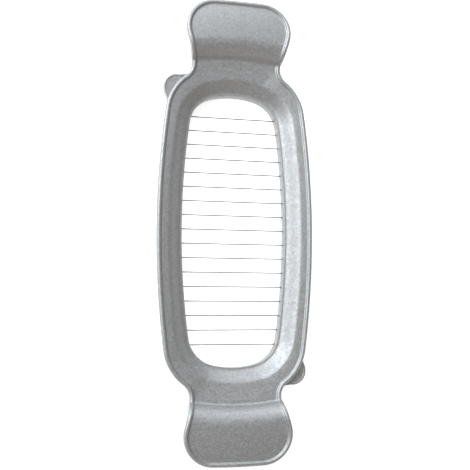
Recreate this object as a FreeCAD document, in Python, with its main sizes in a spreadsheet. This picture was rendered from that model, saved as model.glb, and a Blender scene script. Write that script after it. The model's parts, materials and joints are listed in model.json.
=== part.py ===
import FreeCAD, Part
import math
import os
from collections import namedtuple

import Sketcher
from FreeCAD import Placement, Rotation, Vector

# Hand-held egg slicer: a lower casting (wire_carrier) holds seventeen cutting wires across a long opening,
# and an upper casting (handle_frame) with two raised grips drops over it and closes its channel.
# X runs across the body, Y along it, Z up.  The origin is the centre of the underside, on the board.

DIMS = {
    # Plan outline of the handle frame, one quarter, from the widest point to the end of the grip.
    # Turns are headings away from +Y, in degrees.
    "body_half_width": 33.15,
    "side_radius": 380.0,
    "side_turn": 7.55,
    "shoulder_radius": 20.6,
    "shoulder_turn": 53.5,
    "neck_radius": 6.4,
    "grip_flare": 15.9,
    "flare_length": 9.4,
    "grip_corner_radius": 12.4,
    "grip_corner_turn": 88.0,
    # Plan outline of the opening that the wires cross.
    "opening_half_width": 22.15,
    "opening_side_radius": 330.0,
    "opening_side_turn": 7.84,
    "opening_corner_radius": 13.5,
    "opening_corner_turn": 76.0,
    # Handle frame: elevation of the plate, rim bead and funnel.
    "flange_top": 9.2,
    "plate_thickness": 2.0,
    "bead_width": 1.9,
    "bead_rise": 0.8,
    "grip_foot": 71.3,
    "neck_bend_radius": 35.0,
    "neck_slope": 9.0,
    "foot_radius": 1.2,
    "foot_slope": 62.0,
    "brow_radius": 9.0,
    "crown_slope": 1.0,
    "crown_radius": 90.0,
    "crown_droop": 12.0,
    "blank_height": 22.0,
    "dish_reach": 8.4,
    "dish_depth": 0.45,
    "funnel_foot": 1.2,
    "funnel_mouth": 5.4,
    "funnel_foot_height": 5.2,
    "funnel_bottom": 4.6,
    "funnel_foot_outside": 2.6,
    "funnel_mouth_outside": 7.8,
    "boss_radius": 2.8,
    "boss_bottom": 3.0,
    "boss_bore_depth": 3.2,
    # Wire carrier: a channel section with its floor on the board.
    "carrier_inset": 1.5,
    "carrier_shoulder_turn": 60.0,
    "carrier_end_radius": 8.0,
    "carrier_top": 7.0,
    "wall_thickness": 1.5,
    "floor_thickness": 1.2,
    "lip_top": 4.4,
    "ear_thickness": 2.0,
    "ear_corner_radius": 5.8,
    "ear_corner_across": 24.9,
    "ear_corner_along": 58.9,
    "ear_side_slope": 20.0,
    "ear_end_slope": 8.0,
    "ear_root_across": 12.0,
    "ear_root_along": 52.5,
    # Wires and what holds their ends.
    "wire_pitch": 6.0,
    "wire_height": 2.0,
    "wire_radius": 0.25,
    "wire_hole_radius": 0.35,
    "wire_hole_reach": 25.0,
    "ferrule_radius": 0.75,
    "ferrule_offset": 1.6,
    "ferrule_length": 2.4,
    "crimp_clearance": 0.02,
    "strip_inner_offset": 1.7,
    "strip_outer_offset": 7.4,
    "strip_half_length": 50.0,
    "strip_thickness": 1.0,
    "stack_gap": 0.05,
    "screw_offset": 6.0,
    "screw_radius": 0.8,
    "screw_hole_radius": 0.95,
    "screw_head_radius": 1.6,
    "screw_head_height": 0.9,
    "screw_slot_width": 0.5,
    "screw_slot_depth": 0.4,
    "screw_depth": 1.9,
    "screw_boss_radius": 1.5,
    # Locating studs, their grip rings and the bores over them.
    "stud_across": 19.85,
    "stud_along": 55.8,
    "stud_radius": 1.6,
    "stud_top": 5.9,
    "stud_chamfer": 0.4,
    "spigot_radius": 1.0,
    "groove_radius": 1.15,
    "groove_half_height": 0.5,
    "grip_ring_height": 4.6,
    "grip_ring_section": 0.4,
    "grip_ring_clearance": 0.05,
}
WIRE_COUNT = 17
SCREW_STATIONS = (-45, -15, 15, 45)

doc = FreeCAD.newDocument("egg_slicer")
sheet = doc.addObject("Spreadsheet::Sheet", "dims")
for row, (alias, number) in enumerate(DIMS.items(), start=1):
    sheet.set(f"A{row}", alias)
    sheet.set(f"B{row}", str(number))
    sheet.setAlias(f"B{row}", alias)
doc.recompute()

nodes = []


def size(expression):
    """Value of an expression written with the sheet's aliases."""
    return float(sheet.evalExpression(expression))


# ---------------------------------------------------------------- outlines made of tangent arcs

Arc = namedtuple("Arc", "centre radius first last left expression")
Line = namedtuple("Line", "start end")


def unit(heading):
    return Vector(math.cos(math.radians(heading)), math.sin(math.radians(heading)), 0)


def walk(start, heading, steps, offset="0"):
    """Pieces of a tangent path.  A step is (turn, radius or length, end heading).  The path is shifted to
    its right by the offset, so left turns grow by it and right turns shrink."""
    shift = size(offset)
    point = start + unit(heading - 90) * shift
    pieces = []
    for turn, alias, end_heading in steps:
        if turn == "straight":
            end = point + unit(heading) * size(f"dims.{alias}")
            pieces.append(Line(point, end))
            point = end
            continue
        left = turn == "left"
        sign = 1 if left else -1
        expression = f"dims.{alias} {'+' if left else '-'} ({offset})"
        radius = size(expression)
        centre = point + unit(heading + 90) * (sign * radius)
        angles = sorted((heading - sign * 90, end_heading - sign * 90))
        pieces.append(Arc(centre, radius, angles[0], angles[1], left, expression))
        point = centre + unit(end_heading - sign * 90) * radius
        heading = end_heading
    return pieces, point, heading


def mirrored(pieces):
    """The same pieces on the other side of the sketch's vertical axis, in the opposite order."""
    flipped = []
    for piece in reversed(pieces):
        if isinstance(piece, Arc):
            centre = Vector(-piece.centre.x, piece.centre.y, 0)
            flipped.append(piece._replace(centre=centre, first=180 - piece.last, last=180 - piece.first))
        else:
            start = Vector(-piece.end.x, piece.end.y, 0)
            end = Vector(-piece.start.x, piece.start.y, 0)
            flipped.append(Line(start, end))
    return flipped


def half_turned(pieces):
    turned = []
    for piece in pieces:
        if isinstance(piece, Arc):
            first, last = piece.first + 180, piece.last + 180
            turned.append(piece._replace(centre=piece.centre * -1, first=first, last=last))
        else:
            turned.append(Line(piece.start * -1, piece.end * -1))
    return turned


def oval(half_width, steps, offset):
    """Closed outline with two mirror axes.  The first step is the side arc across the X axis, and an
    arc centred on the Y axis closes each end."""
    start = Vector(size(f"dims.{half_width}"), 0, 0)
    quarter, end, heading = walk(start, 90, steps, offset)
    side = quarter[0]._replace(first=-quarter[0].last)
    corner = quarter[1:]
    end_radius = end.x / math.sin(math.radians(heading))
    end_centre = Vector(0, end.y + end_radius * math.cos(math.radians(heading)), 0)
    cap = Arc(end_centre, end_radius, heading - 90, 270 - heading, True, None)
    upper = [side] + corner + [cap] + mirrored(corner)
    return upper + half_turned(upper)


def frame_outline(offset="0"):
    steps = (
        ("left", "side_radius", 90 + size("dims.side_turn")),
        ("left", "shoulder_radius", 90 + size("dims.shoulder_turn")),
        ("right", "neck_radius", 90 - size("dims.grip_flare")),
        ("straight", "flare_length", None),
        ("left", "grip_corner_radius", 90 + size("dims.grip_corner_turn")),
    )
    return oval("body_half_width", steps, offset)


def carrier_outline(offset="0"):
    steps = (
        ("left", "side_radius", 90 + size("dims.side_turn")),
        ("left", "shoulder_radius", 90 + size("dims.carrier_shoulder_turn")),
        ("left", "carrier_end_radius", 90 + size("dims.grip_corner_turn")),
    )
    return oval("body_half_width", steps, f"{offset} - dims.carrier_inset")


def opening_outline(offset="0"):
    steps = (
        ("left", "opening_side_radius", 90 + size("dims.opening_side_turn")),
        ("left", "opening_corner_radius", 90 + size("dims.opening_corner_turn")),
    )
    return oval("opening_half_width", steps, offset)


def frame_elevation(rise, level):
    """Closed loop between the plate's side profile, moved out by the rise, and a level line."""
    lift = size(rise)
    bend_start = size("dims.grip_foot - dims.neck_bend_radius * sin(dims.neck_slope * 1deg)")
    bend = Vector(bend_start, size("dims.flange_top"), 0)
    steps = (
        ("left", "neck_bend_radius", size("dims.neck_slope")),
        ("left", "foot_radius", size("dims.foot_slope")),
        ("right", "brow_radius", size("dims.crown_slope")),
        ("right", "crown_radius", -size("dims.crown_droop")),
    )
    grip, end, _ = walk(bend, 0, steps, f"-({rise})")
    flat = Line(Vector(-bend.x, bend.y + lift, 0), Vector(bend.x, bend.y + lift, 0))
    corners = [end, Vector(end.x, level, 0), Vector(-end.x, level, 0), Vector(-end.x, end.y, 0)]
    frame = [Line(first, second) for first, second in zip(corners, corners[1:])]
    return mirrored(grip) + [flat] + grip + frame


def side_offset(offset, along="0"):
    """Distance from the Y axis to the opening's side arc, grown by the offset, at a place along it."""
    radius = f"(dims.opening_side_radius + {offset})"
    return f"dims.opening_half_width - dims.opening_side_radius + sqrt({radius} ^ 2 - ({along}) ^ 2)"


# ---------------------------------------------------------------- document helpers


def register(part, label):
    part.Label = label
    nodes.append(part)
    return part


def new_body(label):
    return register(doc.addObject("PartDesign::Body", label), label)


def origin_feature(body, role):
    return next(item for item in body.Origin.OriginFeatures if item.Role == role)


def new_sketch(body, name, role="XY_Plane", level=None):
    sketch = body.newObject("Sketcher::SketchObject", f"{body.Label}_{name}")
    sketch.AttachmentSupport = [(origin_feature(body, role), "")]
    sketch.MapMode = "FlatFace"
    if level is not None:
        sketch.setExpression("AttachmentOffset.Base.z", level)
    return sketch


def draw(sketch, loop, joint="Tangent"):
    """Add a closed loop, join each piece to the next and bind the radii to the sheet."""
    ids = []
    for piece in loop:
        if isinstance(piece, Arc):
            circle = Part.Circle(piece.centre, Vector(0, 0, 1), piece.radius)
            span = (math.radians(piece.first), math.radians(piece.last))
            ids.append(sketch.addGeometry(Part.ArcOfCircle(circle, *span)))
        else:
            ids.append(sketch.addGeometry(Part.LineSegment(piece.start, piece.end)))
    for index, piece in enumerate(loop):
        following = (index + 1) % len(loop)
        leave = 1 if isinstance(piece, Arc) and not piece.left else 2
        other = loop[following]
        enter = 2 if isinstance(other, Arc) and not other.left else 1
        sketch.addConstraint(Sketcher.Constraint(joint, ids[index], leave, ids[following], enter))
    for geometry, piece in zip(ids, loop):
        if isinstance(piece, Arc) and piece.expression:
            bind_radius(sketch, geometry, piece.expression)


def bind_radius(sketch, geometry, expression):
    constraint = sketch.addConstraint(Sketcher.Constraint("Radius", geometry, size(expression)))
    sketch.setExpression(f"Constraints[{constraint}]", expression)


def draw_circles(sketch, centres, radius):
    for centre in centres:
        circle = Part.Circle(centre, Vector(0, 0, 1), size(radius))
        bind_radius(sketch, sketch.addGeometry(circle), radius)


def pad(body, name, sketch, length):
    feature = body.newObject("PartDesign::Pad", f"{body.Label}_{name}")
    feature.Profile = sketch
    feature.setExpression("Length", length)
    doc.recompute()
    return feature


def pocket(body, name, sketch, length=None, upwards=False, both_sides=False):
    before = body.Shape.Volume
    feature = body.newObject("PartDesign::Pocket", f"{body.Label}_{name}")
    feature.Profile = sketch
    feature.Reversed = upwards
    if both_sides:
        feature.SideType = "Symmetric"
    if length is None:
        feature.Type = "ThroughAll"
    else:
        feature.setExpression("Length", length)
    doc.recompute()
    if body.Shape.Volume >= before - 0.01:
        raise RuntimeError(f"{feature.Name} removes nothing")
    return feature


def loft(body, name, kind, lower, upper):
    feature = body.newObject(f"PartDesign::{kind}", f"{body.Label}_{name}")
    feature.Profile = lower
    feature.Sections = [upper]
    feature.Ruled = True
    doc.recompute()
    return feature


def four_corners(across, along):
    """Places in the four quadrants, counter-clockwise from +X +Y."""
    return [Vector(x * across, y * along, 0) for x, y in ((1, 1), (-1, 1), (-1, -1), (1, -1))]


def stud_places():
    return four_corners(size("dims.stud_across"), size("dims.stud_along"))


def screw_places(side):
    return [Vector(side * size(side_offset("dims.screw_offset", str(y))), y, 0) for y in SCREW_STATIONS]


# ---------------------------------------------------------------- castings


def handle_frame():
    """Upper casting: dished plate with a rim bead, a funnel down to a lip round the opening and two
    raised grips."""
    body = new_body("handle_frame")
    top = size("dims.blank_height")

    plate = new_sketch(body, "plate_plan")
    draw(plate, frame_outline("-dims.bead_width"))
    pad(body, "plate_blank", plate, "dims.blank_height")
    elevation = new_sketch(body, "plate_elevation", "YZ_Plane")
    draw(elevation, frame_elevation("0", top), "Coincident")
    draw(elevation, frame_elevation("-dims.plate_thickness", 0), "Coincident")
    pocket(body, "plate_shape", elevation, both_sides=True)

    rim = new_sketch(body, "rim_plan")
    draw(rim, frame_outline())
    draw(rim, frame_outline("-dims.bead_width"))
    pad(body, "rim_blank", rim, "dims.blank_height")
    elevation = new_sketch(body, "rim_elevation", "YZ_Plane")
    draw(elevation, frame_elevation("dims.bead_rise", top), "Coincident")
    draw(elevation, frame_elevation("-dims.plate_thickness", 0), "Coincident")
    pocket(body, "rim_shape", elevation, both_sides=True)

    bosses = new_sketch(body, "boss_plan", level="dims.boss_bottom")
    draw_circles(bosses, stud_places(), "dims.boss_radius")
    pad(body, "bosses", bosses, "dims.flange_top - dims.boss_bottom")

    foot = new_sketch(body, "funnel_foot_outside", level="dims.funnel_bottom")
    draw(foot, opening_outline("dims.funnel_foot_outside"))
    mouth = new_sketch(body, "funnel_mouth_outside", level="dims.flange_top")
    draw(mouth, opening_outline("dims.funnel_mouth_outside"))
    loft(body, "funnel", "AdditiveLoft", foot, mouth)

    dish_floor = "dims.flange_top - dims.dish_depth"
    middle = new_sketch(body, "dish_floor_plan", level=dish_floor)
    draw(middle, opening_outline("dims.funnel_mouth"))
    edge = new_sketch(body, "dish_edge_plan", level="dims.flange_top")
    draw(edge, opening_outline("dims.dish_reach"))
    loft(body, "dish", "SubtractiveLoft", middle, edge)
    foot = new_sketch(body, "funnel_foot_plan", level="dims.funnel_foot_height")
    draw(foot, opening_outline("dims.funnel_foot"))
    mouth = new_sketch(body, "funnel_mouth_plan", level=dish_floor)
    draw(mouth, opening_outline("dims.funnel_mouth"))
    loft(body, "funnel_inside", "SubtractiveLoft", foot, mouth)
    throat = new_sketch(body, "throat_plan", level="dims.funnel_foot_height")
    draw(throat, opening_outline())
    pocket(body, "throat", throat)

    bores = new_sketch(body, "bore_plan", level="dims.boss_bottom")
    reach = "dims.stud_radius + dims.grip_ring_section + dims.grip_ring_clearance"
    draw_circles(bores, stud_places(), reach)
    pocket(body, "bores", bores, "dims.boss_bore_depth", upwards=True)
    return body


def ear_outline():
    """Rounded finger ear beyond the +X -Y shoulder.  Its half-turned twin is on the other shoulder."""
    radius = size("dims.ear_corner_radius")
    centre = Vector(size("dims.ear_corner_across"), -size("dims.ear_corner_along"), 0)
    root = Vector(size("dims.ear_root_across"), -size("dims.ear_root_along"), 0)
    end_slope = size("dims.ear_end_slope")
    side_slope = size("dims.ear_side_slope")
    end = centre + unit(-90 - end_slope) * radius
    tip = centre + unit(side_slope) * radius
    outer = Vector(root.x, end.y - (end.x - root.x) * math.tan(math.radians(end_slope)), 0)
    run = (root.y - tip.y) / math.cos(math.radians(side_slope))
    flank = tip + unit(side_slope + 90) * run
    return [
        Line(outer, end),
        Arc(centre, radius, -90 - end_slope, side_slope, True, "dims.ear_corner_radius"),
        Line(tip, flank),
        Line(flank, root),
        Line(root, outer),
    ]


def wire_carrier():
    """Lower casting: channel ring with a drilled inner wall, an outer wall and two diagonal ears."""
    body = new_body("wire_carrier")

    outer = new_sketch(body, "outer_plan")
    draw(outer, carrier_outline())
    pad(body, "blank", outer, "dims.carrier_top")
    ears = new_sketch(body, "ear_plan", level="dims.carrier_top - dims.ear_thickness")
    draw(ears, ear_outline(), "Coincident")
    draw(ears, half_turned(ear_outline()), "Coincident")
    pad(body, "ears", ears, "dims.ear_thickness")

    channel = new_sketch(body, "channel_plan", level="dims.floor_thickness")
    draw(channel, carrier_outline("-dims.wall_thickness"))
    draw(channel, opening_outline("dims.wall_thickness"))
    pocket(body, "channel", channel, upwards=True)
    lip = new_sketch(body, "lip_plan", level="dims.lip_top")
    draw(lip, opening_outline("dims.wall_thickness"))
    pocket(body, "lip", lip, upwards=True)
    opening = new_sketch(body, "opening_plan", level="dims.lip_top")
    draw(opening, opening_outline())
    pocket(body, "opening", opening)

    bosses = new_sketch(body, "screw_boss_plan", level="dims.floor_thickness")
    draw_circles(bosses, screw_places(1) + screw_places(-1), "dims.screw_boss_radius")
    strip_seat = "dims.wire_height + dims.ferrule_radius"
    pad(body, "screw_bosses", bosses, f"{strip_seat} - dims.floor_thickness")
    holes = new_sketch(body, "screw_hole_plan", level=strip_seat)
    draw_circles(holes, screw_places(1) + screw_places(-1), "dims.screw_radius + dims.crimp_clearance")
    pocket(body, "screw_holes", holes, "dims.screw_depth")
    seats = new_sketch(body, "stud_seat_plan", level="dims.floor_thickness")
    draw_circles(seats, stud_places(), "dims.spigot_radius + dims.crimp_clearance")
    pocket(body, "stud_seats", seats)

    hole = new_sketch(body, "wire_hole_section", "YZ_Plane")
    first = Vector(-size("dims.wire_pitch") * (WIRE_COUNT - 1) / 2, size("dims.wire_height"), 0)
    draw_circles(hole, [first], "dims.wire_hole_radius")
    drilled = pocket(body, "wire_hole", hole, "2 * dims.wire_hole_reach", both_sides=True)
    pattern = body.newObject("PartDesign::LinearPattern", "wire_carrier_wire_holes")
    pattern.Originals = [drilled]
    pattern.Direction = (origin_feature(body, "Y_Axis"), [""])
    pattern.Occurrences = WIRE_COUNT
    pattern.setExpression("Length", f"dims.wire_pitch * {WIRE_COUNT - 1}")
    body.Tip = pattern
    return body


# ---------------------------------------------------------------- wires and wire ends


def cylinder(name, radius, height):
    part = doc.addObject("Part::Cylinder", name)
    part.setExpression("Radius", radius)
    part.setExpression("Height", height)
    return part


def across_axis(start, along):
    """Placement that lays a cylinder along +X from a start point at the wires' height."""
    return Placement(Vector(start, along, size("dims.wire_height")), Rotation(Vector(0, 1, 0), 90))


def wire_stations():
    middle = (WIRE_COUNT - 1) / 2
    return [f"dims.wire_pitch * {index - middle}" for index in range(WIRE_COUNT)]


def wires():
    """Straight wires from ferrule to ferrule, numbered from the -Y end."""
    for number, station in enumerate(wire_stations(), start=1):
        reach = side_offset("dims.ferrule_offset + dims.ferrule_length", station)
        wire = cylinder(f"wire_{number:02d}", "dims.wire_radius", f"2 * ({reach})")
        wire.Placement = across_axis(-size(reach), size(station))
        register(wire, wire.Name)


def wire_ferrules(side, label):
    """Short tubes crimped on the wire ends, behind the inner wall of the channel."""
    tubes = []
    for number, station in enumerate(wire_stations(), start=1):
        inner_end = size(side_offset("dims.ferrule_offset", station))
        length = size("dims.ferrule_length")
        start = inner_end if side > 0 else -inner_end - length
        outside = cylinder(f"{label}_outside_{number:02d}", "dims.ferrule_radius", "dims.ferrule_length")
        bore_radius = "dims.wire_radius + dims.crimp_clearance"
        bore = cylinder(f"{label}_bore_{number:02d}", bore_radius, "dims.ferrule_length")
        outside.Placement = across_axis(start, size(station))
        bore.Placement = across_axis(start, size(station))
        tube = doc.addObject("Part::Cut", f"{label}_{number:02d}")
        tube.Base = outside
        tube.Tool = bore
        tubes.append(tube)
    group(tubes, label)


def group(solids, label):
    """Identical solids that share one node."""
    compound = doc.addObject("Part::Compound", label)
    compound.Links = solids
    register(compound, label)


def clamp_strip(side, label):
    """Flat strip curved like the opening's side, screwed down over the ferrules."""
    body = new_body(label)
    strip_seat = "dims.wire_height + dims.ferrule_radius + dims.stack_gap"
    sketch = new_sketch(body, "plan", level=strip_seat)
    end = size("dims.strip_half_length")
    centre = Vector(size("dims.opening_half_width - dims.opening_side_radius"), 0, 0)
    edges = []
    for alias in ("strip_outer_offset", "strip_inner_offset"):
        expression = f"dims.opening_side_radius + dims.{alias}"
        radius = size(expression)
        angle = math.degrees(math.asin(end / radius))
        edges.append(Arc(centre, radius, -angle, angle, alias == "strip_outer_offset", expression))
    outer, inner = edges
    corners = [centre + unit(arc.last) * arc.radius for arc in edges]
    ends = [centre + unit(arc.first) * arc.radius for arc in edges]
    outline = [outer, Line(corners[0], corners[1]), inner, Line(ends[1], ends[0])]
    draw(sketch, outline if side > 0 else mirrored(outline), "Coincident")
    draw_circles(sketch, screw_places(side), "dims.screw_hole_radius")
    pad(body, "plate", sketch, "dims.strip_thickness")


def strip_screws(side, label):
    """Slotted pan-head screws through the strip into the bosses on the channel floor."""
    seat = size("dims.wire_height + dims.ferrule_radius + 2 * dims.stack_gap + dims.strip_thickness")
    tip = size("dims.wire_height + dims.ferrule_radius - dims.screw_depth + dims.stack_gap")
    slot_floor = seat + size("dims.screw_head_height - dims.screw_slot_depth")
    screws = []
    for number, place in enumerate(screw_places(side), start=1):
        name = f"{label}_{number}"
        head = cylinder(f"{name}_head", "dims.screw_head_radius", "dims.screw_head_height")
        head.Placement = Placement(place + Vector(0, 0, seat), Rotation())
        shank = cylinder(f"{name}_shank", "dims.screw_radius", str(seat - tip))
        shank.Placement = Placement(place + Vector(0, 0, tip), Rotation())
        blank = doc.addObject("Part::Fuse", f"{name}_blank")
        blank.Base = head
        blank.Tool = shank
        slot = doc.addObject("Part::Box", f"{name}_slot")
        slot.setExpression("Length", "dims.screw_slot_width")
        slot.setExpression("Width", "2 * dims.screw_head_radius")
        slot.setExpression("Height", "dims.screw_slot_depth")
        corner = Vector(size("dims.screw_slot_width") / 2, size("dims.screw_head_radius"), 0)
        slot.Placement = Placement(place - corner + Vector(0, 0, slot_floor), Rotation())
        screw = doc.addObject("Part::Cut", name)
        screw.Base = blank
        screw.Tool = slot
        screws.append(screw)
    group(screws, label)


# ---------------------------------------------------------------- studs and grip rings


def locating_stud(place, label):
    """Turned stud with a spigot in the floor and a groove for its grip ring."""
    body = new_body(label)
    spigot = size("dims.spigot_radius")
    shank = size("dims.stud_radius")
    groove = size("dims.groove_radius")
    chamfer = size("dims.stud_chamfer")
    floor = size("dims.floor_thickness")
    middle = size("dims.grip_ring_height")
    half = size("dims.groove_half_height")
    top = size("dims.stud_top")
    bottom = size("dims.stack_gap")
    profile = (
        (0, bottom), (spigot, bottom), (spigot, floor), (shank, floor),
        (shank, middle - half), (groove, middle - half), (groove, middle + half), (shank, middle + half),
        (shank, top - chamfer), (shank - chamfer, top), (0, top),
    )
    corners = [Vector(radius, height, 0) for radius, height in profile]
    sketch = new_sketch(body, "section", "XZ_Plane")
    draw(sketch, [Line(a, b) for a, b in zip(corners, corners[1:] + corners[:1])], "Coincident")
    shoulder = sketch.addConstraint(Sketcher.Constraint("DistanceX", -1, 1, 3, 2, shank))
    sketch.setExpression(f"Constraints[{shoulder}]", "dims.stud_radius")
    turned = body.newObject("PartDesign::Revolution", f"{label}_turned")
    turned.Profile = sketch
    turned.ReferenceAxis = (sketch, ["V_Axis"])
    turned.Angle = 360
    body.Placement = Placement(place, Rotation())


def grip_ring(place, label):
    ring = doc.addObject("Part::Torus", label)
    ring.setExpression("Radius1", "dims.stud_radius")
    ring.setExpression("Radius2", "dims.grip_ring_section")
    ring.Placement = Placement(place + Vector(0, 0, size("dims.grip_ring_height")), Rotation())
    register(ring, label)


def check_and_export():
    doc.recompute()
    for item in doc.Objects:
        if "Invalid" in item.State or "Error" in item.State:
            raise RuntimeError(f"{item.Name}: {item.State}")
    for part in nodes:
        if part.Shape.isNull() or not part.Shape.isValid():
            raise RuntimeError(f"{part.Label}: shape is null or not valid")
    os.makedirs("parts", exist_ok=True)
    for part in nodes:
        part.Shape.exportStep(f"parts/{part.Label}.step")
        box = part.Shape.BoundBox
        print(f"{part.Label:22} solids {len(part.Shape.Solids):2}  volume {part.Shape.Volume:9.2f}  "
              f"z {box.ZMin:6.2f} {box.ZMax:6.2f}  {box.XLength:6.2f} x {box.YLength:6.2f}")


handle_frame()
wire_carrier()
wires()
for side_sign, side_name in ((-1, "left"), (1, "right")):
    wire_ferrules(side_sign, f"wire_ferrules_{side_name}")
    clamp_strip(side_sign, f"clamp_strip_{side_name}")
    strip_screws(side_sign, f"strip_screws_{side_name}")
for corner_number, corner_place in enumerate(stud_places(), start=1):
    locating_stud(corner_place, f"locating_stud_{corner_number}")
    grip_ring(corner_place, f"grip_ring_{corner_number}")
check_and_export()
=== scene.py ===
import json
import math

import bpy
import numpy as np
from mathutils import Matrix, Vector
from mathutils.geometry import delaunay_2d_cdt


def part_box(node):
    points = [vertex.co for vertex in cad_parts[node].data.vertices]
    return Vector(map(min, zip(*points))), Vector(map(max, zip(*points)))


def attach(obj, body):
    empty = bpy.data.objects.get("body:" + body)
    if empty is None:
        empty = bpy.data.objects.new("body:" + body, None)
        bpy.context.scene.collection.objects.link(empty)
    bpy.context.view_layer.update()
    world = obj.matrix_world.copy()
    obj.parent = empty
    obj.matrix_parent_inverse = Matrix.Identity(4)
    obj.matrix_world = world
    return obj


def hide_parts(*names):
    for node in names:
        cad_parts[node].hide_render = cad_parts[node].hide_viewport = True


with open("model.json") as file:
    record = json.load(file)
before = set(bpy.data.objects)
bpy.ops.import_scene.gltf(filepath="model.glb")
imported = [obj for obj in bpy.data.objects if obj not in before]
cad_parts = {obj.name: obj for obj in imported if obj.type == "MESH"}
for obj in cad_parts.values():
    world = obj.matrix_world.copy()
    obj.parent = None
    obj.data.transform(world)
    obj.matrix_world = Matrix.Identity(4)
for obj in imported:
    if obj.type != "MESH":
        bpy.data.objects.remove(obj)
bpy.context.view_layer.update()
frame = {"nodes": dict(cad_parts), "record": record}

MM = 0.001

# ---------------------------------------------------------------- driving dimensions, in millimetres
# Plan outlines, one quarter each, from the widest point.  A step is (turn, radius or length, heading at
# its end in degrees away from +Y, spacing of points).
FRAME_HALF_WIDTH = 33.12
FRAME_STEPS = (
    ("left", 380.0, 7.55, 1.2),
    ("left", 20.6, 53.5, 0.8),
    ("right", 6.4, -15.9, 0.3),
    ("straight", 9.38, None, 0.3),
    ("left", 12.4, 88.0, 0.6),
)
CARRIER_HALF_WIDTH = 31.65
CARRIER_STEPS = (
    ("left", 378.5, 7.55, 1.5),
    ("left", 19.1, 60.0, 0.8),
    ("left", 6.5, 88.0, 0.5),
)
OPENING_HALF_WIDTH = 22.15
OPENING_STEPS = (
    ("left", 330.0, 7.84, 1.0),
    ("left", 13.5, 76.0, 0.5),
)
CAP_SPACING = 1.0
# How far a cutting solid reaches past the surface that it opens.
CUT_MARGIN = 1.0
WIRE_COUNT = 17
STUD_COUNT = 4

# Side profile of the frame plate: flat over the body, curving up a little over each neck, then an S bend up
# to each crowned grip.  The bend bows away from the opening.
FLANGE_TOP = 9.2
PLATE_THICKNESS = 2.0
GRIP_FOOT = 71.3
NECK_RADIUS = 35.0
NECK_SLOPE = 9.0
FOOT_RADIUS = 1.2
FOOT_SLOPE = 62.0
BROW_RADIUS = 9.0
CROWN_SLOPE = 1.0
CROWN_RADIUS = 90.0
BOW_RADIUS = 110.0
BOW_START = 50.0

# Rim bead: a round edge with a small fillet to the flange, and the rim's side below it.
BEAD_RADIUS = 0.95
BEAD_RISE = 0.8
BEAD_FILLET = 0.6
RIM_ROUND = 0.5

# Dish of the plate towards the opening.
DISH_SLOPE = 0.16
DISH_REACH = 13.0
DISH_EASE = 0.5

# Funnel down to the lip round the opening, in distance out from the opening.
FUNNEL_MOUTH = 6.5
FUNNEL_SHOULDER = (4.7, 0.92)
FUNNEL_HEEL = (2.3, 0.07)
FUNNEL_FOOT = 0.6
LIP_HEIGHT = 5.1
LIP_BOTTOM = 4.6
LIP_ROUND = 0.2
FUNNEL_UNDER_FOOT = 2.6
FUNNEL_UNDER_MOUTH = 5.55
FUNNEL_UNDER_EASE = 0.3
FUNNEL_UNDER_FOOT_EASE = 0.2

# Rows of points that fill a flat area: fine over the S bend of a grip, coarse elsewhere.
COARSE_ROWS = 1.2
FINE_ROWS = 0.3
FINE_BELOW_FOOT = 2.1
FINE_ABOVE_FOOT = 9.5
GRIP_ROWS_START = 9.9
GRIP_ROWS_END = 97.0
BODY_ROWS_START = -66.0
BODY_ROWS_END = 66.1
FLOOR_ROWS = 2.0

# Bosses under the frame, over the locating studs.
BOSS_RADIUS = 2.8
BOSS_BOTTOM = 3.0
BOSS_CHAMFER = 0.3
BOSS_COVER = 0.45
BOSS_OVERLAP = 0.4
BORE_RADIUS = 2.05
BORE_TOP = 6.2
BORE_START = 0.1

# Wire carrier.
CARRIER_TOP = 7.0
WALL = 1.5
FLOOR = 1.2
LIP_TOP = 4.4
EDGE_ROUND = 0.45
CORNER_FILLET = 0.6
EAR_CORNER = (24.9, -58.9)
EAR_RADIUS = 5.8
EAR_FLANK_SLOPE = 20.0
EAR_END_SLOPE = 8.0
EAR_ROOT = (12.0, -52.5)
EAR_BOTTOM = 5.0
EAR_TOP = 6.9
EAR_BEAD = 0.2
EAR_BORDER_BEND = 0.4
EAR_BORDER_WIDTH = 0.9
# Outward directions at the two ends of an ear's root, which the outer wall hides.
EAR_ROOT_NORMALS = ((0.7, 0.7), (-0.7, 0.7))
EAR_ROOT_DEPTH = 1.2
SCREW_OFFSET = 6.0
SCREW_STATIONS = (-45.0, -15.0, 15.0, 45.0)
SCREW_BOSS_RADIUS = 1.5
SCREW_BOSS_TOP = 2.75
SCREW_BOSS_CHAMFER = 0.15
SCREW_BOSS_SIDES = 24
SCREW_HOLE_RADIUS = 0.82
SCREW_HOLE_BOTTOM = 0.85
SCREW_HOLE_SIDES = 20
STUD_SEAT_RADIUS = 1.02
STUD_SEAT_SIDES = 24
WIRE_HOLE_RADIUS = 0.35
WIRE_HOLE_REACH = 25.0
WIRE_HOLE_SIDES = 12

# Camera, in metres, and its lens and sensor in millimetres.
CAMERA_PLACE = Vector((-0.07221, -0.03307, 0.30983))
CAMERA_AIM = Vector((0.0, -0.00256, 0.007))
CAMERA_ROLL = 0.002
LENS = 57.45
SENSOR = 36.0

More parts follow.
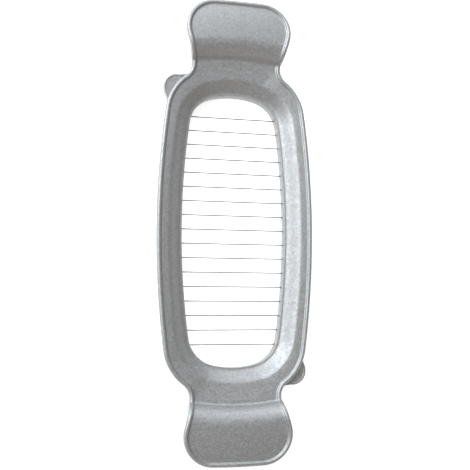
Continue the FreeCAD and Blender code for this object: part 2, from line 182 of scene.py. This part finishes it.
# Coat tones, lights and floor.
COAT_DARK = (0.31, 0.31, 0.31)
COAT_MIDDLE = (0.38, 0.38, 0.383)
COAT_LIGHT = (0.46, 0.46, 0.46)
KEY_PLACE = (-0.548, 0.384, 0.602)
KEY_SIZE = (0.8, 0.8)
KEY_RADIANCE = 5.2
KEY_COLOUR = (0.89, 0.95, 1.0)
FILL_SIZE = (0.6, 0.6)
NORTH_PLACE = (0.10, 0.75, 0.45)
NORTH_RADIANCE = 2.3
NORTH_COLOUR = (0.84, 0.92, 1.0)
SOUTH_PLACE = (0.05, -0.80, 0.30)
SOUTH_RADIANCE = 0.45
SOUTH_COLOUR = (1.0, 0.95, 0.88)
AMBIENT = 0.40
AMBIENT_COLOUR = (1.0, 0.965, 0.915)
FLOOR_GLOW = 0.72
FLOOR_HALF_SIZE = 8.0

# ---------------------------------------------------------------- plan outlines


def heading_vector(degrees):
    angle = math.radians(degrees)
    return np.array((-math.sin(angle), math.cos(angle)))


class Outline:
    """Closed curve of tangent arcs with two mirror axes: points, and the outward normal at each."""

    def __init__(self, half_width, steps):
        points, normals = self.quarter(half_width, steps)
        flip = np.array((-1.0, 1.0))
        points = np.vstack((points, points[-2:0:-1] * flip))
        normals = np.vstack((normals, normals[-2:0:-1] * flip))
        # the half turn starts at the widest point on the -X side
        start = np.array(((-half_width, 0.0),))
        self.points = np.vstack((points, start, -points[1:]))
        self.normals = np.vstack((normals, ((-1.0, 0.0),), -normals[1:]))

    @staticmethod
    def quarter(half_width, steps):
        position = np.array((half_width, 0.0))
        heading = 0.0
        points = [position]
        normals = [np.array((1.0, 0.0))]
        for turn, amount, end_heading, spacing in steps:
            if turn == "straight":
                direction = heading_vector(heading)
                right = np.array((direction[1], -direction[0]))
                count = max(2, round(amount / spacing))
                for k in range(1, count + 1):
                    points.append(position + direction * amount * k / count)
                    normals.append(right)
                position = points[-1]
                continue
            sign = 1.0 if turn == "left" else -1.0
            right = -heading_vector(heading + 90.0)
            centre = position - right * amount * sign
            sweep = end_heading - heading
            count = max(2, round(abs(math.radians(sweep)) * amount / spacing))
            for k in range(1, count + 1):
                right = -heading_vector(heading + sweep * k / count + 90.0)
                points.append(centre + right * amount * sign)
                normals.append(right)
            position = points[-1]
            heading = end_heading
        radius = position[0] / math.cos(math.radians(heading))
        centre = np.array((0.0, position[1] - radius * math.sin(math.radians(heading))))
        count = max(2, round(position[0] / CAP_SPACING))
        for k in range(1, count + 1):
            right = -heading_vector(heading + (90.0 - heading) * k / count + 90.0)
            points.append(centre + right * radius)
            normals.append(right)
        return np.array(points), np.array(normals)

    def ring(self, out):
        return self.points + self.normals * out


RIM = Outline(FRAME_HALF_WIDTH, FRAME_STEPS)
CARRIER = Outline(CARRIER_HALF_WIDTH, CARRIER_STEPS)
OPENING = Outline(OPENING_HALF_WIDTH, OPENING_STEPS)


def inside(polygon, points):
    """Which points lie inside a closed polygon."""
    x, y = points[:, 0], points[:, 1]
    result = np.zeros(len(points), bool)
    for (x0, y0), (x1, y1) in zip(polygon, np.roll(polygon, -1, axis=0)):
        if y0 == y1:
            continue
        crosses = (y0 > y) != (y1 > y)
        result ^= crosses & (x < (x1 - x0) * (y - y0) / (y1 - y0) + x0)
    return result


def distance_to(polygon, points):
    """Distance from each point to the nearest edge of a closed polygon."""
    edges = np.roll(polygon, -1, axis=0) - polygon
    best = np.full(len(points), np.inf)
    for start, edge, length in zip(polygon, edges, (edges ** 2).sum(1)):
        along = np.clip(((points - start) @ edge) / length, 0.0, 1.0)
        gap = points - start - along[:, None] * edge
        best = np.minimum(best, (gap ** 2).sum(1))
    return np.sqrt(best)


def side_offset(offset, along):
    """Distance from the Y axis to the opening's side arc, grown by the offset, at a place along it."""
    radius = OPENING_STEPS[0][1]
    return OPENING_HALF_WIDTH - radius + math.sqrt((radius + offset) ** 2 - along ** 2)


# ---------------------------------------------------------------- heights


def beside(centre, distance, degrees):
    """Point at a distance from a centre, below it along the normal of a slope."""
    angle = math.radians(degrees)
    return centre + distance * np.array((math.sin(angle), -math.cos(angle)))


def plate_level(plan, rise=0.0):
    """Height of the frame plate's profile, moved out of the plate by the rise, at places in plan."""
    y = np.abs(plan[:, 1]) + plan[:, 0] ** 2 / (2 * BOW_RADIUS) * (np.abs(plan[:, 1]) > BOW_START)
    start = GRIP_FOOT - NECK_RADIUS * math.sin(math.radians(NECK_SLOPE))
    neck = np.array((start, FLANGE_TOP + NECK_RADIUS))
    foot = beside(neck, NECK_RADIUS - FOOT_RADIUS, NECK_SLOPE)
    brow = beside(foot, FOOT_RADIUS + BROW_RADIUS, FOOT_SLOPE)
    crown = beside(brow, CROWN_RADIUS - BROW_RADIUS, CROWN_SLOPE)
    level = np.full_like(y, FLANGE_TOP + rise)
    hollows = ((neck, NECK_RADIUS - rise, 0.0), (foot, FOOT_RADIUS - rise, NECK_SLOPE))
    for centre, radius, slope in hollows:
        height = centre[1] - np.sqrt(np.maximum(radius ** 2 - (y - centre[0]) ** 2, 0.0))
        level = np.where(y > beside(centre, radius, slope)[0], height, level)
    crests = ((brow, BROW_RADIUS + rise, FOOT_SLOPE), (crown, CROWN_RADIUS + rise, CROWN_SLOPE))
    for centre, radius, slope in crests:
        height = centre[1] + np.sqrt(np.maximum(radius ** 2 - (y - centre[0]) ** 2, 0.0))
        level = np.where(y > beside(centre, -radius, slope)[0], height, level)
    return level


def dish(plan, rim_edge, opening):
    """How far the plate dips towards the opening: nothing at the bead and at the foot of a grip."""
    out = distance_to(opening, plan)
    run = np.minimum(distance_to(rim_edge, plan), np.maximum(DISH_REACH - out, 0.0))
    return DISH_SLOPE * run ** 2 / (run + DISH_EASE)


# ---------------------------------------------------------------- mesh building


class Shell:
    """Points and faces of closed surfaces, gathered in millimetres."""

    def __init__(self):
        self.points = []
        self.faces = []

    def add(self, plan, heights):
        """Add points and give back their numbers."""
        first = len(self.points)
        for (x, y), z in zip(plan, np.broadcast_to(heights, len(plan))):
            self.points.append((x, y, z))
        return list(range(first, len(self.points)))

    def band(self, ring, following):
        """Quads between two closed rings of the same length."""
        count = len(ring)
        for k in range(count):
            n = (k + 1) % count
            self.faces.append((ring[k], ring[n], following[n], following[k]))

    def bands(self, rings):
        for ring, following in zip(rings, rings[1:]):
            self.band(ring, following)

    def stack(self, rings):
        """Solid from rings of the same length, counter-clockwise from above, in order upwards."""
        self.bands(rings)
        self.faces.append(tuple(rings[0][::-1]))
        self.faces.append(tuple(rings[-1]))

    def fill(self, triangles, numbers, upwards):
        for a, b, c in triangles:
            corner = (numbers[a], numbers[b], numbers[c])
            self.faces.append(corner if upwards else corner[::-1])

    def turned(self, place, section, sides=32, axis="Z"):
        """Solid of revolution.  The section gives (radius, height) from its bottom to its top."""
        angles = np.arange(sides) * 2 * math.pi / sides
        circle = np.column_stack((np.cos(angles), np.sin(angles)))
        rings = []
        for radius, height in section:
            first = len(self.points)
            for u, v in circle * radius:
                local = (u, v, height) if axis == "Z" else (height, u, v)
                self.points.append(tuple(np.add(place, local)))
            rings.append(list(range(first, len(self.points))))
        self.stack(rings)

    def mesh(self, name):
        mesh = bpy.data.meshes.new(name)
        mesh.from_pydata(self.points, [], self.faces)
        mesh.validate()
        return mesh


def new_object(name, mesh):
    obj = bpy.data.objects.new(name, mesh)
    bpy.context.scene.collection.objects.link(obj)
    return obj


def combine(piece, tool, operation):
    """Join another object to a piece, or cut it away from it.  The other object is used up."""
    modifier = piece.modifiers.new("combine", "BOOLEAN")
    modifier.operation = operation
    modifier.solver = "EXACT"
    modifier.object = tool
    graph = bpy.context.evaluated_depsgraph_get()
    combined = bpy.data.meshes.new_from_object(piece.evaluated_get(graph))
    if not combined.polygons:
        raise RuntimeError(f"{piece.name}: nothing left of it")
    piece.modifiers.clear()
    piece.data = combined
    bpy.data.objects.remove(tool)


def build(name, shell, joined, removed, sharp_degrees=40.0):
    """Piece in metres from a shell, the objects joined to it and the solids cut out of it."""
    piece = new_object(name, shell.mesh(name))
    for tool in joined:
        combine(piece, tool, "UNION")
    combine(piece, new_object("tool", removed.mesh("tool")), "DIFFERENCE")
    piece.data.name = name
    piece.data.transform(Matrix.Scale(MM, 4))
    piece.data.shade_smooth()
    piece.data.set_sharp_from_angle(angle=math.radians(sharp_degrees))
    return piece


def area_between(outer, inner, rows, spacing):
    """Triangulate the area between two rings.  Gives the plan points, outer ring first and inner ring
    next, and the triangles, counter-clockwise."""
    half = spacing / 2
    reach = np.abs(outer).max(0)
    columns = np.arange(-reach[0] + half, reach[0], spacing)
    grid = np.array([(x, y) for y in rows for x in columns if abs(y) < reach[1]])
    grid = grid[inside(outer, grid)]
    keep = distance_to(outer, grid) > half
    keep &= ~inside(inner, grid)
    keep &= distance_to(inner, grid) > half
    edges = []
    first = 0
    for ring in (outer, inner):
        edges += [(first + k, first + (k + 1) % len(ring)) for k in range(len(ring))]
        first += len(ring)
    plan = np.vstack((outer, inner, grid[keep]))
    found, _, faces, origin, _, _ = delaunay_2d_cdt([Vector(p) for p in plan], edges, [], 0, 1e-7)
    numbers = [o[0] for o in origin]
    triangles = np.array([[numbers[k] for k in face] for face in faces])
    centres = plan[triangles].mean(axis=1)
    kept = inside(outer, centres) & ~inside(inner, centres)
    return plan, triangles[kept]


def arc_section(centre, radius, first, last, count):
    """Points of an arc in a section plane, as (distance, height)."""
    angles = np.radians(np.linspace(first, last, count))
    return [(centre[0] + radius * math.cos(a), centre[1] + radius * math.sin(a)) for a in angles]


def bezier(p0, p1, p2, p3, count):
    t = np.linspace(0.0, 1.0, count)[:, None]
    p0, p1, p2, p3 = (np.array(p) for p in (p0, p1, p2, p3))
    curve = p0 * (1 - t) ** 3 + 3 * p1 * t * (1 - t) ** 2 + 3 * p2 * t ** 2 * (1 - t) + p3 * t ** 3
    return [tuple(p) for p in curve]


# ---------------------------------------------------------------- handle frame


def rim_section():
    """Section of the rim from the flange over the bead to the underside, as (distance, height)."""
    centre = (-BEAD_RADIUS, BEAD_RISE - BEAD_RADIUS)
    apart = BEAD_RADIUS + BEAD_FILLET
    reach = math.sqrt(apart ** 2 - (BEAD_FILLET - centre[1]) ** 2)
    fillet = (centre[0] - reach, BEAD_FILLET)
    meet = math.degrees(math.atan2(fillet[1] - centre[1], -reach))
    section = arc_section(fillet, BEAD_FILLET, 270.0, 180.0 + meet, 5)
    section += arc_section(centre, BEAD_RADIUS, meet, 0.0, 15)[1:]
    corner = (-RIM_ROUND, RIM_ROUND - PLATE_THICKNESS)
    section += arc_section(corner, RIM_ROUND, 0.0, -90.0, 5)
    section.append((fillet[0], -PLATE_THICKNESS))
    return section


def funnel_section():
    """Section of the funnel's inside from its mouth over the lip to the lip's bottom edge.  The height is
    a share of the way from the lip up to the mouth, or millimetres below the lip's top."""
    curve = bezier((FUNNEL_MOUTH, 1.0), FUNNEL_SHOULDER, FUNNEL_HEEL, (FUNNEL_FOOT, 0.0), 22)
    edge = LIP_ROUND
    depth = LIP_BOTTOM - LIP_HEIGHT
    lip = arc_section((edge, -edge), edge, 90.0, 180.0, 5)
    lip += arc_section((edge / 2, depth + edge / 2), edge / 2, 180.0, 270.0, 4)
    return curve, lip


def plate_underside(plan):
    return plate_level(plan, -PLATE_THICKNESS)


def rim_rings(shell, section):
    """Rings of the rim, from the flange over the bead to the underside of the plate."""
    rings = []
    for out, height in section:
        plan = RIM.ring(out)
        upper, lower = plate_level(plan), plate_underside(plan)
        share = -min(height, 0.0) / PLATE_THICKNESS
        rings.append(shell.add(plan, upper + max(height, 0.0) - share * (upper - lower)))
    return rings


def funnel_underside():
    """Back of the funnel from the lip's bottom edge to the underside of the plate, with eased ends."""
    plate_under = FLANGE_TOP - PLATE_THICKNESS
    slope = (plate_under - LIP_BOTTOM) / (FUNNEL_UNDER_MOUTH - FUNNEL_UNDER_FOOT)
    ease, foot_ease = FUNNEL_UNDER_EASE, FUNNEL_UNDER_FOOT_EASE
    return (
        (FUNNEL_UNDER_FOOT - ease, LIP_BOTTOM),
        (FUNNEL_UNDER_FOOT + foot_ease, LIP_BOTTOM + foot_ease * slope),
        (FUNNEL_UNDER_MOUTH - ease, plate_under - ease * slope),
        (FUNNEL_UNDER_MOUTH + ease, plate_under),
    )


def funnel_rings(shell, mouth_height):
    """Rings of the funnel, from its mouth over the lip and back up to the underside of the plate."""
    curve, lip = funnel_section()
    rings = []
    for out, share in curve:
        rings.append(shell.add(OPENING.ring(out), LIP_HEIGHT + share * (mouth_height - LIP_HEIGHT)))
    for out, depth in lip:
        rings.append(shell.add(OPENING.ring(out), LIP_HEIGHT + depth))
    for out, height in funnel_underside():
        rings.append(shell.add(OPENING.ring(out), height))
    return rings


def plate_rows():
    """Rows of fill points along the frame, close together where the plate bends up to a grip."""
    fine = np.arange(GRIP_FOOT - FINE_BELOW_FOOT, GRIP_FOOT + FINE_ABOVE_FOOT, FINE_ROWS)
    outer = np.arange(GRIP_FOOT + GRIP_ROWS_START, GRIP_ROWS_END, COARSE_ROWS)
    middle = np.arange(BODY_ROWS_START, BODY_ROWS_END, COARSE_ROWS)
    return np.concatenate((-outer[::-1], -fine[::-1], middle, fine, outer))


def frame_shell():
    shell = Shell()
    section = rim_section()
    rim_edge = RIM.ring(section[0][0])

    def plate_top(plan):
        return plate_level(plan) - dish(plan, rim_edge, OPENING.points)

    def cover(mouth_out, edge, mouth, level, upwards):
        """Fill one side of the plate between the rim and the funnel's mouth."""
        plan, triangles = area_between(rim_edge, OPENING.ring(mouth_out), plate_rows(), COARSE_ROWS)
        inner = plan[len(edge) + len(mouth):]
        shell.fill(triangles, edge + mouth + shell.add(inner, level(inner)), upwards)

    rim = rim_rings(shell, section)
    shell.bands(rim[::-1])
    funnel = funnel_rings(shell, plate_top(OPENING.ring(FUNNEL_MOUTH)))
    shell.bands(funnel)
    cover(FUNNEL_MOUTH, rim[0], funnel[0], plate_top, True)
    cover(FUNNEL_UNDER_MOUTH + FUNNEL_UNDER_EASE, rim[-1], funnel[-1], plate_underside, False)
    return shell


def stud_places():
    places = []
    for number in range(1, STUD_COUNT + 1):
        low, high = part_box(f"locating_stud_{number}")
        places.append(((low[0] + high[0]) / 2 / MM, (low[1] + high[1]) / 2 / MM, 0.0))
    return places


def boss_solids():
    """Bosses over the studs, cut back where the funnel passes over them."""
    solids = Shell()
    chamfer = BOSS_CHAMFER
    root = FLANGE_TOP - PLATE_THICKNESS + BOSS_OVERLAP
    for place in stud_places():
        section = (
            (BOSS_RADIUS - chamfer, BOSS_BOTTOM),
            (BOSS_RADIUS, BOSS_BOTTOM + chamfer),
            (BOSS_RADIUS, root),
        )
        solids.turned(place, section)
    bosses = new_object("bosses", solids.mesh("bosses"))
    hollow = Shell()
    rings = []
    for out, share in funnel_section()[0][::-1]:
        height = LIP_HEIGHT + share * (FLANGE_TOP - LIP_HEIGHT) - BOSS_COVER
        rings.append(hollow.add(OPENING.ring(out + BOSS_COVER), height))
    rings.append(hollow.add(OPENING.ring(FUNNEL_MOUTH + BOSS_COVER), FLANGE_TOP + CUT_MARGIN))
    hollow.stack(rings)
    combine(bosses, new_object("hollow", hollow.mesh("hollow")), "DIFFERENCE")
    return bosses


def handle_frame():
    bores = Shell()
    chamfer = BOSS_CHAMFER
    for place in stud_places():
        section = (
            (BORE_RADIUS + chamfer, BOSS_BOTTOM - BORE_START),
            (BORE_RADIUS + chamfer, BOSS_BOTTOM),
            (BORE_RADIUS, BOSS_BOTTOM + chamfer),
            (BORE_RADIUS, BORE_TOP),
        )
        bores.turned(place, section)
    return build("handle_frame_casting", frame_shell(), [boss_solids()], bores)


# ---------------------------------------------------------------- wire carrier


def wall_section(height):
    """Section across a wall with its outside at 0: foot, rounded top, inner fillet and floor."""
    r = EDGE_ROUND
    f = CORNER_FILLET
    section = arc_section((r, r), r, 270.0, 180.0, 4)
    section += arc_section((r, height - r), r, 180.0, 90.0, 4)
    section += arc_section((WALL - r, height - r), r, 90.0, 0.0, 4)
    section += arc_section((WALL + f, FLOOR + f), f, 180.0, 270.0, 4)
    return [(WALL + f, 0.0)] + section


def carrier_shell():
    shell = Shell()
    outer_rings = [shell.add(CARRIER.ring(-inward), height) for inward, height in wall_section(CARRIER_TOP)]
    shell.bands(outer_rings)
    opening_rings = [shell.add(OPENING.ring(out), height) for out, height in wall_section(LIP_TOP)]
    shell.bands(opening_rings[::-1])
    land = WALL + CORNER_FILLET
    rows = np.arange(BODY_ROWS_START, BODY_ROWS_END, FLOOR_ROWS)
    plan, triangles = area_between(CARRIER.ring(-land), OPENING.ring(land), rows, FLOOR_ROWS)
    inner = plan[len(CARRIER.points) + len(OPENING.points):]
    shell.fill(triangles, outer_rings[-1] + opening_rings[-1] + shell.add(inner, FLOOR), True)
    shell.fill(triangles, outer_rings[0] + opening_rings[0] + shell.add(inner, 0.0), False)
    return shell


def ear_outline():
    """Points and outward normals round an ear, counter-clockwise, with its root inside the outer wall."""
    corner = np.array(EAR_CORNER)
    root = np.array(EAR_ROOT)
    angles = np.radians(np.linspace(-90.0 - EAR_END_SLOPE, EAR_FLANK_SLOPE, 24))
    arc_normals = np.column_stack((np.cos(angles), np.sin(angles)))
    arc = corner + arc_normals * EAR_RADIUS
    slope = math.tan(math.radians(EAR_END_SLOPE))
    end = np.array((root[0], arc[0][1] - (arc[0][0] - root[0]) * slope))
    direction = heading_vector(EAR_FLANK_SLOPE)
    flank = arc[-1] + direction * (root[1] - arc[-1][1]) / direction[1]
    runs = [np.linspace(start, stop, 9)[:-1] for start, stop in ((end, arc[0]), (arc[-1], flank))]
    points = np.vstack((runs[0], arc, runs[1][1:], (flank, root)))
    first = np.repeat(arc_normals[:1], len(runs[0]), axis=0)
    last = np.repeat(arc_normals[-1:], len(runs[1]) - 1, axis=0)
    normals = np.vstack((first, arc_normals, last, EAR_ROOT_NORMALS))
    return points, normals


def ears():
    """Both ear slabs, with rounded edges and a slightly raised border, cut back inside the outer wall."""
    solids = Shell()
    points, normals = ear_outline()
    r = EDGE_ROUND
    section = arc_section((-r, EAR_BOTTOM + r), r, -90.0, 0.0, 4)
    section += arc_section((-r, EAR_TOP - r), r, 0.0, 90.0, 5)
    bend = -r - EAR_BORDER_BEND
    border_end = (-r - EAR_BORDER_WIDTH, EAR_TOP - EAR_BEAD)
    section += bezier((-r, EAR_TOP), (bend, EAR_TOP), (bend, EAR_TOP - EAR_BEAD), border_end, 5)[1:]
    for turn in (1, -1):
        solids.stack([solids.add((points + normals * out) * turn, height) for out, height in section])
    slabs = new_object("ears", solids.mesh("ears"))
    channel = Shell()
    wall = CARRIER.ring(-EAR_ROOT_DEPTH)
    channel.stack([channel.add(wall, height) for height in (0.0, CARRIER_TOP + CUT_MARGIN)])
    combine(slabs, new_object("channel", channel.mesh("channel")), "DIFFERENCE")
    return slabs


def plain_hole(radius, bottom, top):
    """Section of a straight hole."""
    return ((radius, bottom), (radius, top))


def wire_carrier():
    bosses = Shell()
    removed = Shell()
    radius, top, chamfer = SCREW_BOSS_RADIUS, SCREW_BOSS_TOP, SCREW_BOSS_CHAMFER
    boss = ((radius, FLOOR / 2), (radius, top - chamfer), (radius - chamfer, top))
    screw_hole = plain_hole(SCREW_HOLE_RADIUS, SCREW_HOLE_BOTTOM, top + CUT_MARGIN)
    for side in (1, -1):
        for station in SCREW_STATIONS:
            place = (side * side_offset(SCREW_OFFSET, station), station, 0.0)
            bosses.turned(place, boss, SCREW_BOSS_SIDES)
            removed.turned(place, screw_hole, SCREW_HOLE_SIDES)
    stud_seat = plain_hole(STUD_SEAT_RADIUS, -CUT_MARGIN, FLOOR + CUT_MARGIN)
    for place in stud_places():
        removed.turned(place, stud_seat, STUD_SEAT_SIDES)
    wire_hole = plain_hole(WIRE_HOLE_RADIUS, -WIRE_HOLE_REACH, WIRE_HOLE_REACH)
    for number in range(1, WIRE_COUNT + 1):
        low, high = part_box(f"wire_{number:02d}")
        place = (0.0, (low[1] + high[1]) / 2 / MM, (low[2] + high[2]) / 2 / MM)
        removed.turned(place, wire_hole, WIRE_HOLE_SIDES, "X")
    joined = [ears(), new_object("bosses", bosses.mesh("bosses"))]
    return build("wire_carrier_casting", carrier_shell(), joined, removed)


# ---------------------------------------------------------------- materials


class Nodes:
    """Short way to add and link shader nodes."""

    def __init__(self, name):
        self.material = bpy.data.materials.new(name)
        self.material.use_nodes = True
        self.tree = self.material.node_tree
        self.shader = self.tree.nodes["Principled BSDF"]
        self.place = self.add("ShaderNodeTexCoord").outputs["Object"]

    def add(self, kind, **settings):
        node = self.tree.nodes.new(kind)
        for key, value in settings.items():
            setattr(node, key, value)
        return node

    def link(self, source, target):
        self.tree.links.new(source, target)

    def stretched(self, scale):
        """Object coordinates scaled by a different amount along each axis."""
        node = self.add("ShaderNodeMapping")
        node.inputs["Scale"].default_value = scale
        self.link(self.place, node.inputs["Vector"])
        return node.outputs["Vector"]

    def noise(self, scale, detail=2.0, roughness=0.5, place=None):
        node = self.add("ShaderNodeTexNoise")
        node.inputs["Scale"].default_value = scale
        node.inputs["Detail"].default_value = detail
        node.inputs["Roughness"].default_value = roughness
        self.link(place or self.place, node.inputs["Vector"])
        return node.outputs["Fac"]

    def cells(self, scale):
        node = self.add("ShaderNodeTexVoronoi")
        node.inputs["Scale"].default_value = scale
        self.link(self.place, node.inputs["Vector"])
        return node

    def remap(self, value, low, high, new_low, new_high):
        node = self.add("ShaderNodeMapRange")
        limits = {"From Min": low, "From Max": high, "To Min": new_low, "To Max": new_high}
        for key, number in limits.items():
            node.inputs[key].default_value = number
        self.link(value, node.inputs["Value"])
        return node.outputs["Result"]

    def math(self, operation, a, b):
        node = self.add("ShaderNodeMath", operation=operation)
        for socket, value in zip(node.inputs, (a, b)):
            if isinstance(value, (int, float)):
                socket.default_value = value
            else:
                self.link(value, socket)
        return node.outputs[0]

    def ramp(self, value, stops):
        node = self.add("ShaderNodeValToRGB")
        elements = node.color_ramp.elements
        for k, (position, colour) in enumerate(stops):
            element = elements[k] if k < 2 else elements.new(position)
            element.position = position
            element.color = (*colour, 1.0)
        self.link(value, node.inputs["Fac"])
        return node.outputs["Color"]

    def colour(self, source):
        self.link(source, self.shader.inputs["Base Color"])

    def roughness(self, source):
        self.link(source, self.shader.inputs["Roughness"])

    def metallic(self, value):
        self.shader.inputs["Metallic"].default_value = value

    def bump(self, height, distance, strength=1.0):
        node = self.add("ShaderNodeBump")
        node.inputs["Strength"].default_value = strength
        node.inputs["Distance"].default_value = distance
        self.link(height, node.inputs["Height"])
        self.link(node.outputs["Normal"], self.shader.inputs["Normal"])


def silver_coat():
    """Silver powder coat over the castings: metallic flakes and coarser mottling in a fine grained skin."""
    n = Nodes("silver_coat")
    flakes = n.math("MULTIPLY", n.cells(2300.0).outputs["Color"], 0.30)
    mottling = n.math("MULTIPLY", n.noise(1400.0, 3.0), 0.70)
    shade = n.math("ADD", flakes, mottling)
    n.colour(n.ramp(shade, ((0.28, COAT_DARK), (0.50, COAT_MIDDLE), (0.72, COAT_LIGHT))))
    n.roughness(n.remap(n.noise(700.0, 2.0), 0.3, 0.7, 0.42, 0.58))
    n.metallic(0.8)
    skin = n.math("ADD", n.noise(1100.0, 2.0, 0.6), n.math("MULTIPLY", n.noise(2600.0, 2.0, 0.6), 0.4))
    n.bump(skin, 0.00010, 0.4)
    return n.material


def drawn_steel():
    """Drawn stainless wire: bright, with faint marks round it."""
    n = Nodes("drawn_steel")
    marks = n.noise(2200.0, 2.0)
    n.colour(n.ramp(marks, ((0.3, (0.22, 0.22, 0.23)), (0.7, (0.36, 0.36, 0.37)))))
    n.roughness(n.remap(marks, 0.3, 0.7, 0.30, 0.44))
    n.metallic(1.0)
    n.bump(marks, 0.00001)
    return n.material


def nickel_plate():
    """Crimped nickel-plated tube: warm bright metal with shallow tool dimples."""
    n = Nodes("nickel_plate")
    dimples = n.noise(1800.0, 1.0)
    n.colour(n.ramp(n.noise(500.0, 3.0), ((0.35, (0.52, 0.49, 0.44)), (0.65, (0.68, 0.65, 0.60)))))
    n.roughness(n.remap(dimples, 0.3, 0.7, 0.24, 0.40))
    n.metallic(1.0)
    n.bump(dimples, 0.00006, 0.6)
    return n.material


def rolled_strip():
    """Rolled steel strip: fine lines along its length."""
    n = Nodes("rolled_strip")
    lines = n.noise(1.0, 4.0, 0.6, n.stretched((5200.0, 60.0, 900.0)))
    n.colour(n.ramp(lines, ((0.3, (0.40, 0.41, 0.42)), (0.7, (0.58, 0.585, 0.60)))))
    n.roughness(n.remap(lines, 0.3, 0.7, 0.28, 0.46))
    n.metallic(1.0)
    n.bump(lines, 0.00002, 0.5)
    return n.material


def machined_screw():
    """Zinc-plated screw: slightly blue, with turning marks and a speckle."""
    n = Nodes("machined_screw")
    marks = n.noise(1.0, 3.0, 0.6, n.stretched((900.0, 900.0, 6000.0)))
    n.colour(n.ramp(n.noise(900.0, 3.0), ((0.3, (0.34, 0.36, 0.40)), (0.7, (0.56, 0.58, 0.62)))))
    n.roughness(n.remap(marks, 0.3, 0.7, 0.22, 0.42))
    n.metallic(1.0)
    n.bump(marks, 0.00002, 0.6)
    return n.material


def turned_stud():
    """Turned steel stud: fine rings round its axis."""
    n = Nodes("turned_stud")
    rings = n.noise(1.0, 2.0, 0.5, n.stretched((120.0, 120.0, 9000.0)))
    n.colour(n.ramp(rings, ((0.3, (0.44, 0.45, 0.46)), (0.7, (0.62, 0.63, 0.64)))))
    n.roughness(n.remap(rings, 0.3, 0.7, 0.20, 0.38))
    n.metallic(1.0)
    n.bump(rings, 0.00002, 0.7)
    return n.material


def ring_rubber():
    """Black nitrile rubber with a bloom of dust."""
    n = Nodes("ring_rubber")
    bloom = n.noise(1600.0, 4.0, 0.6)
    n.colour(n.ramp(bloom, ((0.35, (0.014, 0.014, 0.015)), (0.70, (0.05, 0.05, 0.052)))))
    n.roughness(n.remap(bloom, 0.3, 0.7, 0.55, 0.8))
    n.bump(bloom, 0.00003, 0.5)
    return n.material


def pale_paper():
    """Bright paper floor, lit through from below like a product table."""
    n = Nodes("pale_paper")
    tone = n.ramp(n.noise(30.0, 4.0), ((0.3, (0.90, 0.90, 0.90)), (0.7, (0.93, 0.93, 0.93))))
    n.colour(tone)
    n.shader.inputs["Roughness"].default_value = 0.9
    n.link(tone, n.shader.inputs["Emission Color"])
    n.shader.inputs["Emission Strength"].default_value = FLOOR_GLOW
    return n.material


def dress(obj, material):
    obj.data.materials.clear()
    obj.data.materials.append(material)


# ---------------------------------------------------------------- stage, light and camera


def floor(material):
    mesh = bpy.data.meshes.new("floor")
    s = FLOOR_HALF_SIZE
    mesh.from_pydata([(-s, -s, 0), (s, -s, 0), (s, s, 0), (-s, s, 0)], [], [(0, 1, 2, 3)])
    obj = new_object("floor", mesh)
    dress(obj, material)


def softbox(name, place, size, radiance, colour):
    """Area light that faces the object; the radiance is what it looks like from the object."""
    data = bpy.data.lights.new(name, "AREA")
    data.shape = "RECTANGLE"
    data.size, data.size_y = size
    data.energy = radiance * math.pi * size[0] * size[1]
    data.color = colour
    obj = bpy.data.objects.new(name, data)
    obj.location = place
    obj.rotation_euler = (-Vector(place)).to_track_quat("-Z", "Y").to_euler()
    bpy.context.scene.collection.objects.link(obj)


def studio():
    softbox("key", KEY_PLACE, KEY_SIZE, KEY_RADIANCE, KEY_COLOUR)
    softbox("north", NORTH_PLACE, FILL_SIZE, NORTH_RADIANCE, NORTH_COLOUR)
    softbox("south", SOUTH_PLACE, FILL_SIZE, SOUTH_RADIANCE, SOUTH_COLOUR)
    world = bpy.data.worlds.new("studio")
    world.use_nodes = True
    background = world.node_tree.nodes["Background"]
    background.inputs["Color"].default_value = (*AMBIENT_COLOUR, 1.0)
    background.inputs["Strength"].default_value = AMBIENT
    bpy.context.scene.world = world
    bpy.context.scene.view_settings.view_transform = "Standard"


def camera():
    """Looks almost straight down, from a little to the -X and -Y side of the object's middle."""
    data = bpy.data.cameras.new("camera")
    data.lens = LENS
    data.sensor_width = SENSOR
    obj = bpy.data.objects.new("camera", data)
    back = (CAMERA_PLACE - CAMERA_AIM).normalized()
    right = Vector((0, 1, 0)).cross(back).normalized()
    up = back.cross(right)
    level = Matrix((right, up, back)).transposed()
    turn = level @ Matrix.Rotation(CAMERA_ROLL, 3, "Z")
    obj.matrix_world = Matrix.Translation(CAMERA_PLACE) @ turn.to_4x4()
    bpy.context.scene.collection.objects.link(obj)
    bpy.context.scene.camera = obj


# ---------------------------------------------------------------- the model

coat = silver_coat()
finishes = {
    "wire_steel": drawn_steel(),
    "ferrule_metal": nickel_plate(),
    "strip_steel": rolled_strip(),
    "screw_steel": machined_screw(),
    "stud_steel": turned_stud(),
    "ring_rubber": ring_rubber(),
}

casting = handle_frame()
dress(casting, coat)
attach(casting, "frame")
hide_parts("handle_frame")

carrier = wire_carrier()
dress(carrier, coat)
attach(carrier, "carrier")
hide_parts("wire_carrier")

for part in frame["record"]["subparts"]:
    if part["material_slot"] in finishes:
        dress(frame["nodes"][part["node"]], finishes[part["material_slot"]])

floor(pale_paper())
studio()
camera()
